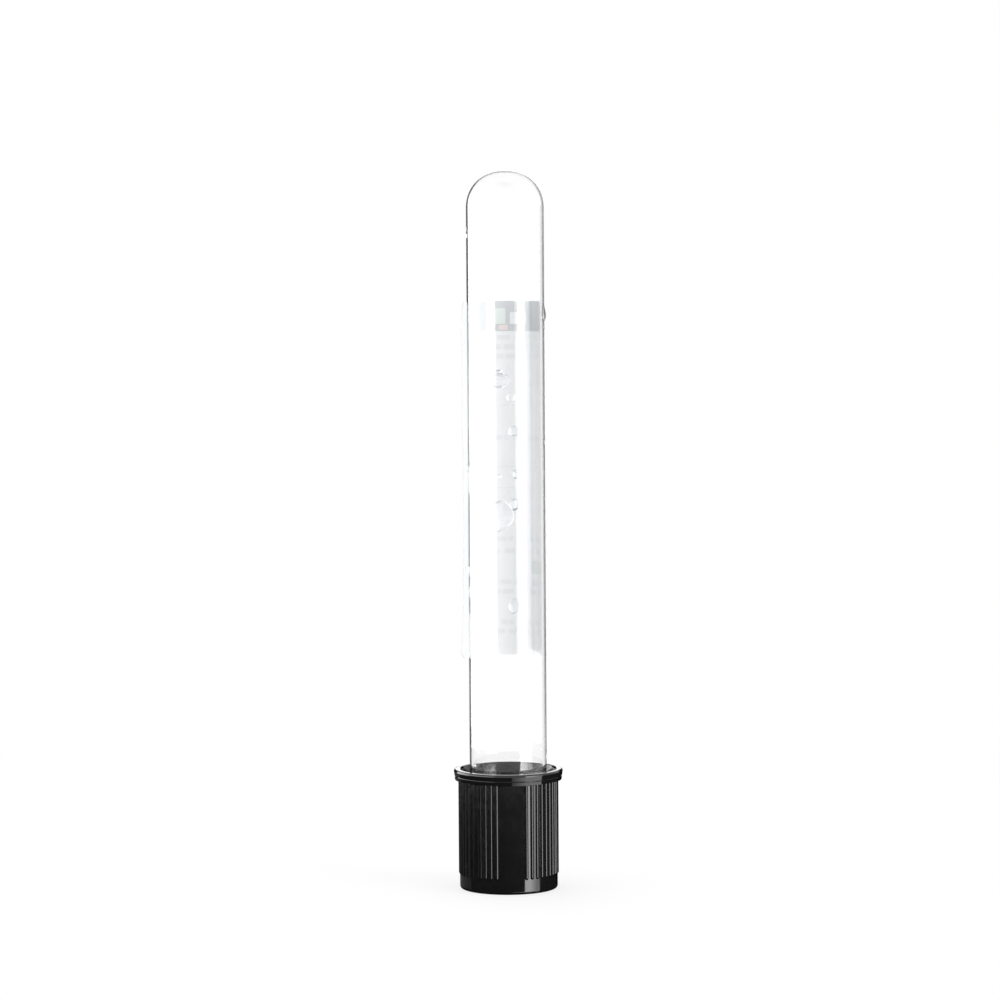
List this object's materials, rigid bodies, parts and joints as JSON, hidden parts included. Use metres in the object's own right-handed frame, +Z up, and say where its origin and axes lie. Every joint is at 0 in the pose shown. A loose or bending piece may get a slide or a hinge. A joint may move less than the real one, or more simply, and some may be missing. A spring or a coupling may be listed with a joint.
{
  "type": "blood collection tube",
  "caption": "Clear round-ended glass blood tube standing on its black ribbed safety cap, with rubber stopper, white paper label and liquid additive; the tube pulls off the stopper.",
  "frame": {"origin": "centre of the cap's end face, on the surface that the tube stands on", "axes": "+Z up the axis of the tube to its closed end, -Y to the bare front of the glass, label on the +Y side"},
  "size_m": [0.0184, 0.0184, 0.121],
  "materials": {
    "cap_plastic": "black moulded polyethylene, glossy",
    "stopper_rubber": "dark grey bromobutyl rubber, matt",
    "clear_glass": "clear drawn glass, polished",
    "label_paper": "white coated paper with pale blue-grey printed fields",
    "clear_liquid": "clear water-thin liquid"
  },
  "bodies": {
    "closure": {"cap": "cap_plastic", "rubber_stopper": "stopper_rubber", "citrate_solution": "clear_liquid"},
    "tube": {"glass_tube": "clear_glass", "label": "label_paper"}
  },
  "joints": [
    {"name": "tube_pull", "type": "slide", "parent": "closure", "child": "tube", "axis": [0, 0, 1], "range_m": [0, 0.02]}
  ]
}
